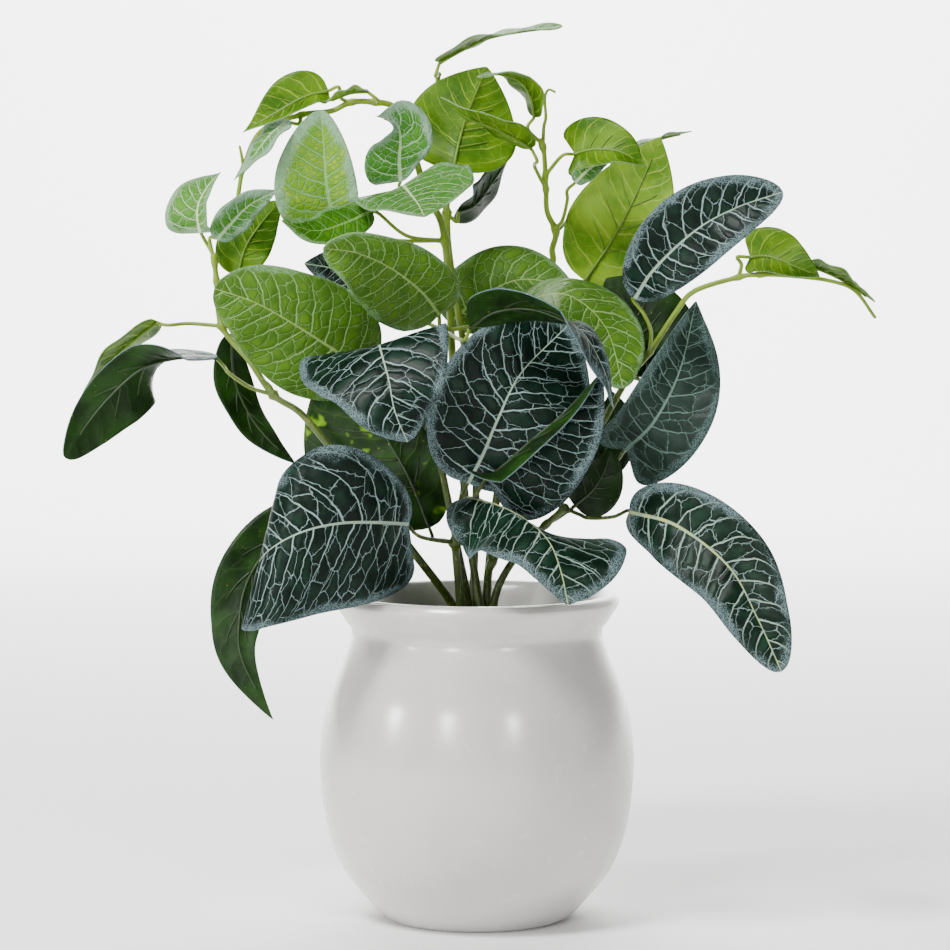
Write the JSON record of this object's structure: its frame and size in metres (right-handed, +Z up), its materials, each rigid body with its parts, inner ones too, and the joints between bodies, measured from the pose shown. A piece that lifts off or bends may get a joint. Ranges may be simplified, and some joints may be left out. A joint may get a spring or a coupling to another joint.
{
  "type": "potted artificial nerve plant",
  "caption": "Artificial nerve plant with printed, vein-netted cloth leaves on moulded stems, standing in a white glazed ceramic pot; a shelf or table decoration.",
  "frame": {"origin": "middle of the pot's flat base", "axes": "+Z up; -Y towards the viewer of the picture; +X to the viewer's right"},
  "size_m": [0.3241, 0.1845, 0.3598],
  "materials": {
    "pot_glaze": "satin white glaze",
    "potting_mix": "dark, rough bark and peat filling",
    "stem_plastic": "moulded plastic, olive to yellow-green, satin",
    "dark_leaf_cloth": "very dark green printed cloth with a pale net of veins",
    "fresh_leaf_cloth": "yellow-green printed cloth with pale veins",
    "pale_leaf_cloth": "green printed cloth under a pale mint film, with white veins"
  },
  "bodies": {
    "root": {"pot": "pot_glaze", "potting_mix": "potting_mix", "stem_left": "stem_plastic", "stem_front": "stem_plastic", "stem_centre": "stem_plastic", "stem_top_left": "stem_plastic", "stem_top": "stem_plastic", "stem_top_right": "stem_plastic", "stem_right": "stem_plastic", "stem_low_right": "stem_plastic", "stem_back": "stem_plastic", "leaf_top_tip": "fresh_leaf_cloth", "leaf_top_round": "fresh_leaf_cloth", "leaf_top_shaded": "dark_leaf_cloth", "leaf_crook_high": "fresh_leaf_cloth", "leaf_crook_low": "fresh_leaf_cloth", "leaf_spray_small": "fresh_leaf_cloth", "leaf_spray_broad": "fresh_leaf_cloth", "leaf_spray_far": "fresh_leaf_cloth", "leaf_spray_pale": "pale_leaf_cloth", "leaf_right_long": "dark_leaf_cloth", "leaf_right_arched": "fresh_leaf_cloth", "leaf_right_end": "fresh_leaf_cloth", "leaf_right_curled": "dark_leaf_cloth", "leaf_right_low": "dark_leaf_cloth", "leaf_right_shaded": "dark_leaf_cloth", "leaf_right_inner": "dark_leaf_cloth", "leaf_low_right_small": "dark_leaf_cloth", "leaf_front_arched": "dark_leaf_cloth", "leaf_front_left": "dark_leaf_cloth", "leaf_front_back": "dark_leaf_cloth", "leaf_front_broad": "dark_leaf_cloth", "leaf_front_cupped": "dark_leaf_cloth", "leaf_centre_rolled": "dark_leaf_cloth", "leaf_centre_dark_arch": "dark_leaf_cloth", "leaf_centre_fresh_arch": "fresh_leaf_cloth", "leaf_centre_tall": "fresh_leaf_cloth", "leaf_centre_folded": "fresh_leaf_cloth", "leaf_centre_left": "fresh_leaf_cloth", "leaf_centre_shaded": "dark_leaf_cloth", "leaf_top_left_tall": "pale_leaf_cloth", "leaf_top_left_narrow": "fresh_leaf_cloth", "leaf_top_left_twisted": "pale_leaf_cloth", "leaf_top_left_near": "pale_leaf_cloth", "leaf_top_left_high": "fresh_leaf_cloth", "leaf_top_left_bud": "pale_leaf_cloth", "leaf_top_left_hanging": "pale_leaf_cloth", "leaf_left_upright": "pale_leaf_cloth", "leaf_left_netted": "pale_leaf_cloth", "leaf_left_behind": "fresh_leaf_cloth", "leaf_left_far_end": "fresh_leaf_cloth", "leaf_left_twisted": "dark_leaf_cloth", "leaf_left_drooping": "dark_leaf_cloth", "leaf_left_hanging": "dark_leaf_cloth", "leaf_back_low_left": "dark_leaf_cloth", "leaf_back_low_right": "dark_leaf_cloth", "leaf_back_left": "fresh_leaf_cloth", "leaf_back_right": "dark_leaf_cloth", "leaf_back_top": "fresh_leaf_cloth", "leaf_back_hanging": "dark_leaf_cloth"}
  },
  "joints": []
}
